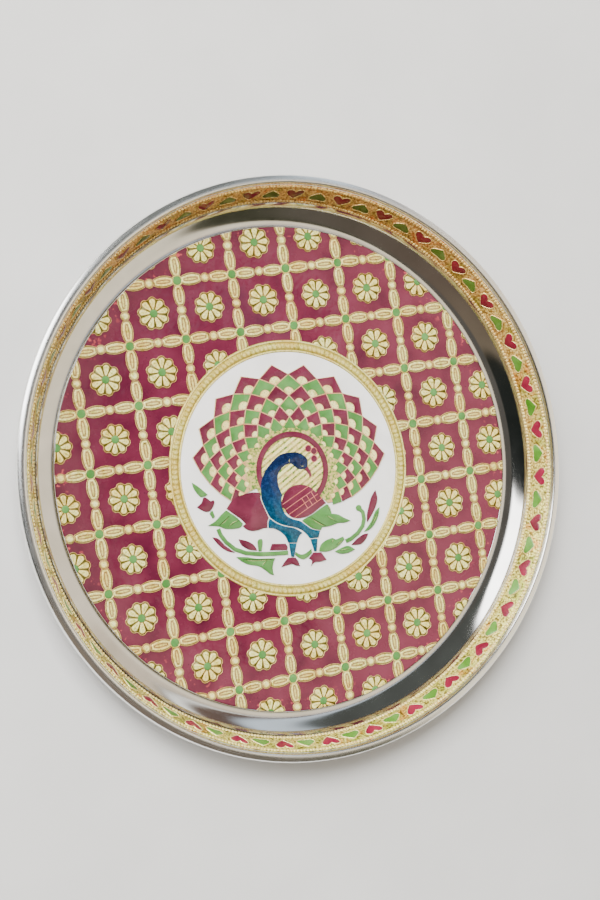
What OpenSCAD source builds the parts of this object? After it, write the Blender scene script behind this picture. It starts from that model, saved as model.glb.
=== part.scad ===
// Enamelled steel serving plate.
// A pressed steel dish with a rolled rim carries a decorated disc on its floor
// and a decorated strip round its wall. The disc has a beaded lattice with
// rosettes round a peacock medallion. The strip has hearts and leaves.
// The plate stands on z = 0 with its axis on Z, and the peacock's head is
// towards +Y.

/* [Dish] */
// Diameter over the rolled rim
plate_d = 304.8; // [290:0.1:320]
// Height from the underside to the top of the rim
plate_h = 24.3; // [22:0.1:28]
// Thickness of the steel sheet
sheet_t = 0.8; // [0.6:0.1:1]
// Radius of the rolled bead at the rim
bead_r = 2.6; // [2.2:0.1:3]
// Slope of the wall above the horizontal, in degrees
wall_angle = 65; // [60:1:70]
// Inside radius of the cove between floor and wall
cove_r = 12; // [9:0.5:13]

/* [Decorated disc] */
// Thickness of each bonding film
film_t = 0.2; // [0.1:0.05:0.3]
// Thickness of the gilt sheets
gilt_t = 0.4; // [0.3:0.05:0.6]
// Depth of the enamel in the floor and the medallion ground
enamel_t = 0.6; // [0.4:0.05:0.8]
// Height of the lattice beads and rosettes above the gilt sheet
relief_t = 1.1; // [0.9:0.05:1.4]
// Side of one square of the lattice
pitch = 30.7; // [28:0.1:34]
// Turn of the lattice about the axis, in degrees
lattice_turn = 8.8; // [0:0.1:45]
// Offset of the lattice along its own rows
lattice_x = -1.4; // [-5:0.1:5]
// Offset of the lattice along its own columns
lattice_y = -2.2; // [-5:0.1:5]
// Length of a barrel bead
barrel_l = 10.3; // [9:0.1:10.4]
// Width of a barrel bead at its middle
barrel_w = 6.4; // [5:0.1:6.6]
// Width of a barrel bead at its ends
barrel_end = 3.4; // [2.5:0.1:4]
// Diameter of the round beads between two barrel beads
round_d = 4.4; // [3:0.1:4.6]
// Diameter of the green studs at the crossings
stud_d = 4.8; // [4:0.1:5]
// Radius of a rosette to its petal tips
rosette_r = 8.4; // [7:0.1:9]
// Petals in a rosette
petals = 9; // [7:1:11]
// Radius of the green centre of a rosette
centre_r = 2.2; // [1.5:0.1:2.6]

/* [Medallion] */
// Outer radius of the gilt ring
ring_r = 68; // [68:0.1:72]
// Width of the gilt ring
ring_w = 6.4; // [6:0.1:6.4]
// Width of each plain line along the ring
ring_line = 1.3; // [1:0.1:1.6]
// Thickness of the gilt plate under the bird
bird_plate_t = 0.2; // [0.1:0.05:0.3]
// Depth of the coloured enamel on that plate
colour_t = 0.4; // [0.3:0.05:0.5]
// Width of the gilt lines between the tail scales
tail_line = 0.5; // [0.4:0.1:0.8]

/* [Wall strip] */
// Width of the strip up the slope of the wall
strip_w = 15.2; // [13:0.1:15.2]
// Bare steel between the cove and the strip
strip_gap = 1; // [0.5:0.1:1]
// Hearts round the strip, with a leaf after each
hearts = 35; // [30:1:36]
// Direction of the first heart, in degrees
heart_turn = 8.5; // [0:0.1:12]
// Height of the hearts and leaves above the strip
motif_t = 0.4; // [0.3:0.05:0.6]
// Radius of the beads along the strip's edges
edge_wire_r = 0.6; // [0.4:0.05:0.8]

/* [Hidden] */
$fn = 96;

// Section of the dish: the bead's centre, where the wall meets it, and the cove
rim_r = plate_d / 2 - bead_r;
rim_z = plate_h - bead_r;
wall_top_r = rim_r - bead_r * sin(wall_angle);
wall_top_z = rim_z + bead_r * cos(wall_angle);
wall_foot_r = wall_top_r - (wall_top_z - sheet_t) / tan(wall_angle);
flat_r = wall_foot_r - cove_r * tan(wall_angle / 2);
cove_end_r = flat_r + cove_r * sin(wall_angle);
cove_end_z = sheet_t + cove_r * (1 - cos(wall_angle));
wall_l = (wall_top_z - cove_end_z) / sin(wall_angle);
curl_turn = 290;
// Overlap that makes one sheet of the section's stretches
lap = 0.01;

// Levels of the floor, from the steel upwards
sheet_z = sheet_t + film_t;
enamel_z = sheet_z + gilt_t;
ground_z = enamel_z + enamel_t;
bird_z = ground_z + bird_plate_t;
top_z = bird_z + colour_t;

// Decorated disc
disc_r = flat_r - 0.7;
edge_ring_w = 0.7;
field_r = disc_r - edge_ring_w;
field_cells = ceil(disc_r / pitch) + 1;
strand_w = barrel_w + 0.2;
barrel_sag = (barrel_w - barrel_end) / 2;
barrel_arc_r = (barrel_l * barrel_l / 4 + barrel_sag * barrel_sag) / (2 * barrel_sag);
barrel_at = (pitch / 2 + stud_d / 2 - round_d / 2) / 2;
petal_swing = sin(180 / petals) / 0.93;
petal_r = rosette_r * petal_swing / (1 + petal_swing);
art = ring_r / 68;

// Fan of tail scales: rows step inwards, and each step round is half a scale
fan_r = 55.5;
fan_step = 5.65;
fan_widening = 0.012;
fan_middle = 91.6;
fan_turn = 9.6;
fan_end_turn = 8;
fan_even_steps = 7;
fan_rows = 5;
fan_side_steps = 9;
fan_last_step = 13;
fan_end_x = 21;
fan_end_y = -18.6;

// Halo behind the head
halo_x = 0.7;
halo_y = -1.3;
halo_r = 20.7;
halo_w = 3;
halo_bead_r = 0.8;
halo_outer_r = halo_r + 2 * halo_bead_r + 0.2;
halo_rib_pitch = 2.6;
halo_rib_w = 1.5;
halo_rib_turn = 38;

// Outlines in the medallion, in mm from its centre. A third number marks a
// sharp corner, and all other points lie on a smooth curve.
neck_outline = [
    [0.5, 8.3], [5, 7.8], [8.7, 5.5], [9.6, 2.8], [8.8, 0.2], [6, -0.8], [3.2, -0.2], [1, 1.6],
    [-1.2, 2.2], [-4.2, 0.8], [-7, -2.2], [-7.8, -6], [-7, -10.5], [-5.2, -14.2, 1],
    [-5.9, -17.8], [-5.2, -21.5], [-3, -25], [0.5, -27], [5, -28.2], [8.5, -30.5], [12, -32.6],
    [16.5, -33.3, 1], [15.4, -37, 1], [10.3, -37.3, 1], [8.5, -35], [5.6, -32.8], [2, -31.4],
    [-4, -30.2], [-8.5, -28.6], [-12.3, -26, 1], [-15, -21], [-17, -16], [-17.4, -9],
    [-15.8, -3.5], [-12, 2], [-6.5, 6.8]
];
right_wing_outline = [
    [-5.3, -18], [-4, -13.6], [0, -10], [5, -8.8], [10, -9.8], [14, -12.8], [17.5, -16],
    [20, -18.6, 1], [16, -21.3], [12, -24.2], [8, -26], [3.5, -26.7], [-0.3, -25.8], [-3.6, -22.6]
];
left_wing_outline = [
    [-17.7, -13.2, 1], [-22, -12.9], [-27, -14], [-31.5, -15.6], [-34.2, -18], [-36.6, -21.5, 1],
    [-32, -24.6], [-28.5, -27], [-26, -29.5, 1], [-27.6, -30.5, 1], [-26, -32], [-23, -33.1],
    [-19, -32.8], [-16, -31.8], [-13.7, -31.6, 1], [-13.7, -28.5], [-12.9, -26.3, 1],
    [-15.5, -21], [-17.5, -16.5]
];
left_feather_outline = [
    [-36.9, -22.3, 1], [-39.5, -24.5], [-43, -28], [-47, -30.2, 1], [-41, -30.6], [-37.5, -31.8],
    [-33, -32], [-29, -31.2], [-27.6, -29.2, 1], [-31.5, -25.6]
];
right_feather_outline = [
    [20.6, -19.2, 1], [22.2, -21], [23.2, -24.3, 1], [27, -24.8], [31, -26.8], [34.3, -28, 1],
    [31, -29.2], [27, -29.4], [22, -31], [17.6, -31.5, 1], [16.9, -33, 1], [12.3, -32.2],
    [8.8, -30.1], [6, -28, 1], [8.2, -26.6], [12.2, -24.7], [16.4, -21.8]
];
thigh_outline = [
    [-12.4, -26.7, 1], [-8.6, -29.2], [-4, -30.8], [2, -32], [6.2, -34.4, 1], [4.4, -36],
    [3, -39.5, 1], [-2, -39.5, 1], [-3.5, -36.3], [-6.5, -33.6], [-10, -32], [-13, -31.7, 1],
    [-13.2, -29]
];
left_shank_outline = [[-1.6, -39.9, 1], [2.8, -39.9, 1], [1.4, -47, 1], [-0.3, -47, 1]];
right_shank_outline = [[10.8, -37.8, 1], [14.9, -37.6, 1], [14.3, -44.4, 1], [13, -44.4, 1]];
left_foot_outline = [
    [-6, -52.3, 1], [-4, -49.5], [-2, -47.4, 1], [2, -47.4, 1], [3.6, -49.2], [4.6, -52, 1],
    [2, -51.5], [0, -50.8], [-3, -51.5]
];
right_foot_outline = [
    [9.8, -48, 1], [12.5, -44.9, 1], [17, -44.9, 1], [20, -48.8, 1], [16.5, -49.8],
    [13, -50.2], [11, -52, 1], [11.6, -49.4]
];
beak_outline = [[9.3, 1, 1], [11, -1.5], [11.6, -4], [10.4, -5, 1], [9.6, -2.6], [7.6, -1.2, 1]];
bud_outline = [
    [-53, -20.6, 1], [-50.5, -18.5], [-49.5, -16], [-48.3, -15.5], [-46.5, -16.6],
    [-45.3, -17.6, 1], [-43.8, -17], [-43.3, -18.5], [-44.6, -21.3], [-46.5, -22.9],
    [-49.5, -22.6]
];
bud_leaf_outline = [
    [-55.6, -7.8, 1], [-51.5, -10.4], [-47, -14.1, 1], [-48.3, -14.9], [-50.8, -15.5, 1],
    [-53, -13.4], [-54.8, -10.6]
];
bud_stem_outline = [
    [-45.4, -22.9, 1], [-44.3, -22.3, 1], [-43, -25.6, 1], [-44.2, -26.6, 1], [-46, -24, 1]
];
low_leaf_outline = [
    [-31.5, -46.6, 1], [-28, -49.2], [-24, -50.8], [-19, -51.6], [-15.6, -53.5], [-12.5, -55.8],
    [-10.3, -56.4, 1], [-11, -53], [-10.4, -49.5], [-9.4, -47.5, 1], [-14, -47.6], [-20, -47.6],
    [-26, -46.7]
];
sprig_outline = [
    [-19.4, -39.2], [-18.6, -37.6], [-16.8, -37.6], [-16.6, -40], [-17.2, -43.8, 1],
    [-18.8, -43.8, 1]
];
foot_leaf_outline = [
    [2.2, -44.4, 1], [5, -45.8], [8, -45.2], [11.3, -42.9, 1], [11.6, -45.1, 1], [9.2, -47.2],
    [6.5, -48.4], [3.6, -47.4], [2, -46, 1]
];
broad_leaf_outline = [
    [15.8, -44.4, 1], [16.6, -41.2], [19.6, -38.6], [23.6, -37.3, 1], [25.6, -38.2, 1],
    [29.8, -36.6, 1], [30.6, -38.1, 1], [27.6, -41.3], [24, -43.4], [20, -44.6]
];
trailing_leaf_outline = [
    [24.8, -44.6, 1], [29, -42.6], [33, -41.6], [36.8, -43.6, 1], [33, -45.3], [28.5, -45.9]
];
outer_leaf_outline = [
    [51.6, -21, 1], [50.8, -25.5], [48.6, -30], [45.6, -33], [42.1, -34.3, 1], [44.6, -31.4],
    [46.8, -28.2], [49.2, -23.2]
];
crimson_leaf_outlines = [
    [[-44.6, -36.2, 1], [-41.2, -37], [-37.4, -40.6], [-31.9, -44.4, 1], [-36.5, -43.4], [-41, -40.4]],
    [[-30, -37.3, 1], [-25.5, -38.3], [-21.8, -40.2], [-19.5, -43.4, 1], [-24, -42.9], [-28.3, -40.6]],
    [[-11.2, -40, 1], [-3.6, -40, 1], [-2.4, -41.6], [-2.6, -43.4, 1], [-12.6, -43.4, 1]],
    [[34.6, -41.2, 1], [38, -38], [42, -35.5], [44.7, -35.1, 1], [43.2, -38.2], [40, -40.9]],
    [
        [49.2, -11.8, 1], [50.3, -15.5], [49.9, -19], [47.6, -24], [44.2, -29.2, 1],
        [44.1, -25], [45.3, -20], [46.8, -15.4]
    ]
];
left_stem_route = [
    [-41.3, -31.9], [-40, -35], [-37, -38.8], [-32, -42.6], [-26, -44.6], [-18, -45.3],
    [-10, -45.2], [-2.1, -44.8]
];
right_stem_route = [
    [39.2, -21.4], [41.6, -23.6], [42.3, -27.4], [41.4, -31], [38.6, -34.8], [34.6, -37.8],
    [31.4, -39.2]
];
stem_w = 2.2;
stem_ball_r = 1.7;
crest_loops = [[9.9, 10.4], [13.1, 9.1], [13.2, 5]];
crest_loop_r = 1.8;
eye_x = 6.4;
eye_y = 2.6;
eye_r = 0.8;
eye_t = 0.15;
wing_wire_x = 7.5;
wing_wire_y = -19;
wing_wire_l = 40;
wing_wire_w = 0.35;
wing_wire_pitch = 3.2;
wing_wire_turn = 33;

// Outlines on the wall strip, x round the wall and y up its slope
heart_outline = [
    [0, -3.9, 1], [2.6, -1.9], [4.8, 0.6], [4.7, 2.8], [3, 3.7], [1.2, 3.1], [0, 1.9, 1],
    [-1.2, 3.1], [-3, 3.7], [-4.7, 2.8], [-4.8, 0.6], [-2.6, -1.9]
];
spade_outline = [
    [0, 3.6, 1], [2.6, 1.8], [4.9, -0.4], [4.7, -2.2], [3, -2.9], [0, -2.6], [-3, -2.9],
    [-4.7, -2.2], [-4.9, -0.4], [-2.6, 1.8]
];
heart_up = 8;
spade_up = 7.2;
edge_wire_in = 1.2;

// A direction at each point of an outline, none at a sharp corner
function heading(p, i) =
    let (n = len(p), a = p[(i + n - 1) % n], b = p[(i + 1) % n])
    len(p[i]) > 2 ? [0, 0] : [b.x - a.x, b.y - a.y] / 2;

// A closed curve through all points of an outline
function curve(p, steps = 4) = [
    for (i = [0 : len(p) - 1], s = [0 : steps - 1])
        let (
            k = (i + 1) % len(p), t = s / steps,
            a = [p[i].x, p[i].y], b = [p[k].x, p[k].y]
        )
        a * (1 + 2 * t) * (1 - t) * (1 - t) + b * t * t * (3 - 2 * t)
            + heading(p, i) * t * (1 - t) * (1 - t) - heading(p, k) * t * t * (1 - t)
];

// Both sides of a ribbon of width w along a route
function side(route, i, w) =
    let (a = route[max(i - 1, 0)], b = route[min(i + 1, len(route) - 1)], d = (b - a) / norm(b - a))
    route[i] + [-d.y, d.x] * w / 2;
function ribbon(route, w) = concat(
    [for (i = [0 : len(route) - 1]) side(route, i, w)],
    [for (i = [len(route) - 1 : -1 : 0]) side(route, i, -w)]
);

// Corners of the fan, by row and by half-steps round from its middle
function fan_angle(n) =
    fan_middle - sign(n) * min(fan_turn * abs(n),
        fan_turn * fan_even_steps + fan_end_turn * (abs(n) - fan_even_steps));
function fan_corner(row, n) =
    let (a = fan_angle(n), r = fan_r - (fan_step - fan_widening * abs(a - fan_middle)) * row)
    r * [cos(a), sin(a)];
function fan_edge_row(n) = abs(n) > fan_side_steps ? abs(n) - fan_side_steps : 1 - abs(n) % 2;
function fan_outline() = concat(
    [for (n = [-fan_last_step : fan_last_step]) fan_corner(fan_edge_row(n), n)],
    [[fan_end_x, fan_end_y], [halo_x, halo_y]]
);
function fan_span(row) = fan_side_steps + row;
function scale_corners(row, n) = [
    fan_corner(row, n), fan_corner(row + 1, n + 1), fan_corner(row + 2, n),
    fan_corner(row + 1, n - 1)
];
function inset(p, w) =
    let (m = (p[0] + p[1] + p[2] + p[3]) / 4)
    [for (c = p) c + (m - c) / norm(m - c) * w];
function moon_r(row) = 3.4 - 0.3 * row;

module dish_section() {
    square([flat_r + lap, sheet_t]);
    translate([flat_r, sheet_t + cove_r])
        arc_band(cove_r, cove_r + sheet_t, -90, wall_angle);
    translate([cove_end_r, cove_end_z]) rotate(wall_angle)
        translate([-lap, -sheet_t]) square([wall_l + 2 * lap, sheet_t]);
    translate([rim_r, rim_z])
        arc_band(bead_r - sheet_t, bead_r, wall_angle + 90 - curl_turn, curl_turn);
}

// A part of a ring between two radii, from one angle over a turn
module arc_band(inner, outer, from, turn) {
    rest = 360 - turn;
    difference() {
        circle(outer);
        circle(inner);
        polygon(concat([[0, 0]], [for (s = [0 : 4]) 2 * outer * dir(from + turn + rest * s / 4)]));
    }
}
function dir(a) = [cos(a), sin(a)];

module wall_layer(low, high, inner, outer) {
    rotate_extrude(angle = 360)
        translate([cove_end_r, cove_end_z]) rotate(wall_angle)
            translate([low, inner]) square([high - low, outer - inner]);
}

// A flat piece with a smooth outline, between two levels of the medallion
module flat(outline, low, high) {
    translate([0, 0, low]) scale(art) linear_extrude((high - low) / art) polygon(curve(outline));
}

module disc(r, low, high) {
    translate([0, 0, low]) cylinder(r = r, h = high - low);
}

module tube(inner, outer, low, high) {
    translate([0, 0, low]) difference() {
        cylinder(r = outer, h = high - low);
        translate([0, 0, -1]) cylinder(r = inner, h = high - low + 2);
    }
}

// A half-round wire lying flat at a radius
module wire_ring(at, r, low) {
    translate([0, 0, low]) rotate_extrude(angle = 360) translate([at, 0]) half_round(r);
}
module half_round(r) {
    difference() {
        circle(r);
        translate([-2 * r, -2 * r]) square([4 * r, 2 * r]);
    }
}

// Lattice places, counted from the square nearest the plate's centre
function square_at(i, j) = [lattice_x + i * pitch, lattice_y + j * pitch];
function touches(p, reach) = norm(p) > ring_r - reach && norm(p) < field_r + reach;
function clears(p, reach) = norm(p) > ring_r + reach && norm(p) < field_r - reach;

// A lattice piece at a place, trimmed only where it crosses the field's edges
module lattice_piece(p, reach, turn = 0) {
    if (clears(p, reach)) rotate(lattice_turn) translate(p) rotate(turn) children();
    else if (touches(p, reach)) intersection() {
        rotate(lattice_turn) translate(p) rotate(turn) children();
        tube(ring_r, field_r, 0, plate_h);
    }
}

module barrel() {
    shift = barrel_w / 2 - barrel_arc_r;
    translate([0, 0, enamel_z]) linear_extrude(relief_t) intersection() {
        translate([0, shift]) circle(barrel_arc_r);
        translate([0, -shift]) circle(barrel_arc_r);
        square([barrel_l, barrel_w], center = true);
    }
}

module rosette_shape() {
    for (k = [0 : petals - 1]) rotate(360 / petals * k) translate([rosette_r - petal_r, 0])
        circle(petal_r);
    circle(rosette_r - petal_r);
}

module steel_dish() color("gainsboro") rotate_extrude(angle = 360) dish_section();

module floor_bond_film() color("white") disc(disc_r, sheet_t, sheet_z);

module floor_gilt_sheet() color("khaki") disc(disc_r, sheet_z, enamel_z);

module floor_edge_ring() color("silver") tube(field_r, disc_r, enamel_z, ground_z);

module crimson_panels() color("crimson")
    for (i = [-field_cells : field_cells], j = [-field_cells : field_cells])
        lattice_piece(square_at(i, j), pitch * 0.7) translate([0, 0, enamel_z])
            linear_extrude(enamel_t) difference() {
                square(pitch - strand_w, center = true);
                rosette_shape();
            }

module barrel_beads() color("palegoldenrod")
    for (i = [-field_cells : field_cells], j = [-field_cells : field_cells], s = [-1, 1]) {
        lattice_piece(square_at(i, j) + [s * barrel_at, pitch / 2], barrel_l / 2) barrel();
        lattice_piece(square_at(i, j) + [pitch / 2, s * barrel_at], barrel_l / 2, 90) barrel();
    }

module round_beads() color("palegoldenrod")
    for (i = [-field_cells : field_cells], j = [-field_cells : field_cells]) {
        lattice_piece(square_at(i, j) + [0, pitch / 2], round_d / 2)
            disc(round_d / 2, enamel_z, enamel_z + relief_t);
        lattice_piece(square_at(i, j) + [pitch / 2, 0], round_d / 2)
            disc(round_d / 2, enamel_z, enamel_z + relief_t);
    }

module crossing_studs() color("mediumseagreen")
    for (i = [-field_cells : field_cells], j = [-field_cells : field_cells])
        lattice_piece(square_at(i, j) + [pitch, pitch] / 2, stud_d / 2)
            disc(stud_d / 2, enamel_z, enamel_z + relief_t);

module rosettes() color("palegoldenrod")
    for (i = [-field_cells : field_cells], j = [-field_cells : field_cells])
        lattice_piece(square_at(i, j), rosette_r) translate([0, 0, enamel_z])
            linear_extrude(relief_t) difference() {
                rosette_shape();
                circle(centre_r);
            }

module rosette_centres() color("mediumseagreen")
    for (i = [-field_cells : field_cells], j = [-field_cells : field_cells])
        lattice_piece(square_at(i, j), centre_r)
            disc(centre_r, enamel_z, enamel_z + relief_t);

module ring_outer_line() color("gold")
    tube(ring_r - ring_line, ring_r, enamel_z, enamel_z + relief_t);

module ring_inner_line() color("gold")
    tube(ring_r - ring_w, ring_r - ring_w + ring_line, enamel_z, enamel_z + relief_t);

module ring_bead_row() color("khaki")
    wire_ring(ring_r - ring_w / 2, ring_w / 2 - ring_line - 0.7, enamel_z);

module medallion_ground() color("white") disc(ring_r - ring_w, enamel_z, ground_z);

// Cuts the halo's disc and the wings out of the fan
module bird_body_cut() {
    translate([halo_x * art, halo_y * art, 0]) disc(halo_outer_r * art, 0, plate_h);
    flat(left_wing_outline, 0, plate_h);
    flat(right_wing_outline, 0, plate_h);
}

module bird_gilt_plate() color("khaki") translate([0, 0, ground_z]) scale([art, art, 1])
    linear_extrude(bird_plate_t) {
        polygon(fan_outline());
        translate([halo_x, halo_y]) circle(halo_outer_r);
        polygon(curve(neck_outline));
        polygon(curve(right_wing_outline));
        polygon(curve(left_wing_outline));
    }

// One tail scale, as its coloured part or as the half-moon in its inner corner
module tail_scale(row, n, moon) {
    corners = inset(scale_corners(row, n), tail_line * 0.7);
    at = corners[2] * 0.9 + corners[0] * 0.1;
    r = moon_r(row);
    translate([0, 0, bird_z]) scale([art, art, 1]) linear_extrude(colour_t)
        if (moon) intersection() {
            polygon(corners);
            translate(at) circle(r - 0.2);
        }
        else difference() {
            polygon(corners);
            translate(at) circle(r);
        }
}

module tail_rows(first, step, moon) {
    difference() {
        for (row = [first : step : fan_rows], n = [-fan_span(row) : fan_span(row)])
            if ((row + n) % 2 != 0) tail_scale(row, n, moon);
        bird_body_cut();
    }
}

module tail_crimson_scales() color("crimson") tail_rows(0, 2, false);

module tail_green_scales() color("mediumseagreen") tail_rows(1, 2, false);

module tail_half_moons() color("palegoldenrod") tail_rows(0, 1, true);

module halo_part() {
    difference() {
        scale([art, art, 1]) translate([halo_x, halo_y, 0]) children();
        flat(neck_outline, 0, plate_h);
        flat(left_wing_outline, 0, plate_h);
        flat(right_wing_outline, 0, plate_h);
    }
}

module halo_ring() color("crimson") halo_part() tube(halo_r - halo_w, halo_r, bird_z, top_z);

module halo_bead_row() color("goldenrod")
    halo_part() wire_ring(halo_r + halo_bead_r + 0.1, halo_bead_r / 2, bird_z);

module halo_ribs() color("palegoldenrod") difference() {
    halo_part() intersection() {
        disc(halo_r - halo_w - 0.3, bird_z, top_z);
        rotate(halo_rib_turn) for (k = [-6 : 6]) translate([0, k * halo_rib_pitch, 0])
            translate([-halo_r, -halo_rib_w / 2, bird_z - 1]) cube([2 * halo_r, halo_rib_w, 2]);
    }
    flat(beak_outline, 0, plate_h);
    for (c = crest_loops) translate(c * art) disc(crest_loop_r * art, 0, plate_h);
}

module neck() color("midnightblue") flat(neck_outline, bird_z, top_z);

module eye() color("palegoldenrod") translate([eye_x * art, eye_y * art, 0])
    disc(eye_r * art, top_z, top_z + eye_t);

module beak() color("crimson") difference() {
    flat(beak_outline, bird_z, top_z);
    flat(neck_outline, 0, plate_h);
}

module crest() color("crimson") difference() {
    for (c = crest_loops) translate(c * art) disc(crest_loop_r * art, bird_z, top_z);
    flat(neck_outline, 0, plate_h);
    halo_ring();
}

module right_wing() color("crimson") flat(right_wing_outline, bird_z, top_z);

module right_wing_wires() color("gold") intersection() {
    flat(right_wing_outline, top_z, top_z + eye_t);
    scale([art, art, 1]) translate([wing_wire_x, wing_wire_y, 0]) rotate(wing_wire_turn) {
        for (k = [-1 : 2]) translate([-wing_wire_l / 2, k * wing_wire_pitch, 0])
            cube([wing_wire_l, wing_wire_w, plate_h]);
        for (k = [0 : 3]) translate([k * wing_wire_pitch, -wing_wire_pitch, 0])
            cube([wing_wire_w, 2 * wing_wire_pitch, plate_h]);
    }
}

module left_wing() color("crimson") flat(left_wing_outline, bird_z, top_z);

module under_feathers() color("mediumseagreen") difference() {
    union() {
        flat(left_feather_outline, ground_z, top_z);
        flat(right_feather_outline, ground_z, top_z);
    }
    flat(left_wing_outline, 0, plate_h);
    flat(right_wing_outline, 0, plate_h);
    flat(neck_outline, 0, plate_h);
    bird_gilt_plate();
}

module left_thigh() color("teal") difference() {
    flat(thigh_outline, ground_z, top_z);
    flat(neck_outline, 0, plate_h);
    flat(left_wing_outline, 0, plate_h);
}

module shanks() color("midnightblue") {
    flat(left_shank_outline, ground_z, top_z);
    flat(right_shank_outline, ground_z, top_z);
}

module feet() color("crimson") {
    flat(left_foot_outline, ground_z, top_z);
    flat(right_foot_outline, ground_z, top_z);
}

module flower_bud() color("crimson") flat(bud_outline, ground_z, top_z);

module green_stems() color("mediumseagreen") {
    flat(bud_stem_outline, ground_z, top_z);
    translate([0, 0, ground_z]) scale([art, art, 1]) linear_extrude(top_z - ground_z) {
        polygon(ribbon(left_stem_route, stem_w));
        polygon(ribbon(right_stem_route, stem_w));
        translate(right_stem_route[0]) circle(stem_ball_r);
    }
}

module green_leaves() color("mediumseagreen") difference() {
    for (leaf = [
        bud_leaf_outline, low_leaf_outline, sprig_outline, foot_leaf_outline, broad_leaf_outline,
        trailing_leaf_outline, outer_leaf_outline
    ]) flat(leaf, ground_z, top_z);
    green_stems();
}

module crimson_leaves() color("crimson") difference() {
    for (leaf = crimson_leaf_outlines) flat(leaf, ground_z, top_z);
    green_stems();
}

strip_low = strip_gap;
strip_high = strip_gap + strip_w;

module wall_bond_film() color("white") wall_layer(strip_low, strip_high, 0, film_t);

module wall_gilt_strip() color("goldenrod")
    wall_layer(strip_low, strip_high, film_t, film_t + gilt_t);

// A bead row along the strip, as the plain band that its beads fill
module strip_wire(up) {
    base = film_t + gilt_t;
    wall_layer(up - edge_wire_r, up + edge_wire_r, base, base + edge_wire_r);
}

module strip_upper_beads() color("gold") strip_wire(strip_high - edge_wire_in);

module strip_lower_beads() color("gold") strip_wire(strip_low + edge_wire_in);

// An outline standing on the strip, cut to follow the wall's curve
module strip_motif(outline, turn, up) {
    base = film_t + gilt_t;
    intersection() {
        wall_layer(strip_low, strip_high, base, base + motif_t);
        rotate(turn) translate([cove_end_r, 0, cove_end_z]) rotate([0, -wall_angle, 0])
            translate([up, 0, -1]) rotate(-90) linear_extrude(4) polygon(curve(outline, 2));
    }
}

module strip_hearts() color("crimson") for (k = [0 : hearts - 1])
    strip_motif(heart_outline, heart_turn + 360 / hearts * k, heart_up + strip_low);

module strip_leaves() color("limegreen") for (k = [0 : hearts - 1])
    strip_motif(spade_outline, heart_turn + 360 / hearts * (k + 0.5), spade_up + strip_low);

steel_dish();
floor_bond_film();
floor_gilt_sheet();
floor_edge_ring();
crimson_panels();
barrel_beads();
round_beads();
crossing_studs();
rosettes();
rosette_centres();
ring_outer_line();
ring_inner_line();
ring_bead_row();
medallion_ground();
bird_gilt_plate();
tail_crimson_scales();
tail_green_scales();
tail_half_moons();
halo_ring();
halo_bead_row();
halo_ribs();
neck();
eye();
beak();
crest();
right_wing();
right_wing_wires();
left_wing();
under_feathers();
left_thigh();
shanks();
feet();
flower_bud();
green_stems();
green_leaves();
crimson_leaves();
wall_bond_film();
wall_gilt_strip();
strip_upper_beads();
strip_lower_beads();
strip_hearts();
strip_leaves();
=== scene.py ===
"""Looks of an enamelled steel serving plate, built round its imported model.

Lengths in this file are in millimetres until a mesh is made.
"""

import math

import bmesh
import bpy
from mathutils import Matrix, Vector


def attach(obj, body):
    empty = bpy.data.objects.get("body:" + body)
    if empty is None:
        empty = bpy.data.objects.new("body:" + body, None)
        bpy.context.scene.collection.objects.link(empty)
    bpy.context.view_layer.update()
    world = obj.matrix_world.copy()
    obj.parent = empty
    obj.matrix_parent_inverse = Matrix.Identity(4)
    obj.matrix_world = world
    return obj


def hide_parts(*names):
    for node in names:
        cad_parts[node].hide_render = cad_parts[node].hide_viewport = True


MM = 0.001
BODY = "root"

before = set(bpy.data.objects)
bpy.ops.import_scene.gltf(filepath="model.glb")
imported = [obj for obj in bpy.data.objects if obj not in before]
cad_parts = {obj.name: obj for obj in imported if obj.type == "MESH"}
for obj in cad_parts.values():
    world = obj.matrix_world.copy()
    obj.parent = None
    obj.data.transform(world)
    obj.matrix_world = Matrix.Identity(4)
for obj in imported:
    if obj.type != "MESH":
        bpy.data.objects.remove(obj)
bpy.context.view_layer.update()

# Section of the dish
PLATE_R = 152.4
PLATE_H = 24.3
SHEET = 0.8
BEAD_R = 2.6
WALL_ANGLE = 65.0
COVE_R = 12.0
CURL_TURN = 290.0
WALL_C = math.cos(math.radians(WALL_ANGLE))
WALL_S = math.sin(math.radians(WALL_ANGLE))
RIM_R = PLATE_R - BEAD_R
RIM_Z = PLATE_H - BEAD_R
WALL_TOP = (RIM_R - BEAD_R * WALL_S, RIM_Z + BEAD_R * WALL_C)
WALL_FOOT_R = WALL_TOP[0] - (WALL_TOP[1] - SHEET) / math.tan(math.radians(WALL_ANGLE))
FLAT_R = WALL_FOOT_R - COVE_R * math.tan(math.radians(WALL_ANGLE / 2))
COVE_END = (FLAT_R + COVE_R * WALL_S, SHEET + COVE_R * (1 - WALL_C))
ROUND_STEPS = 720
# The rim's flattened crown: how far across from the roll's middle, and how far down
RIM_CROWN = [
    (-2.1, 0.95), (-1.86, 0.42), (-1.7, 0.2), (-1.46, 0.07), (-1.0, 0.01),
    (-0.5, 0.0), (0.05, 0.06), (0.6, 0.19), (1.1, 0.38),
]
CROWN_END = 48.0

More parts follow.
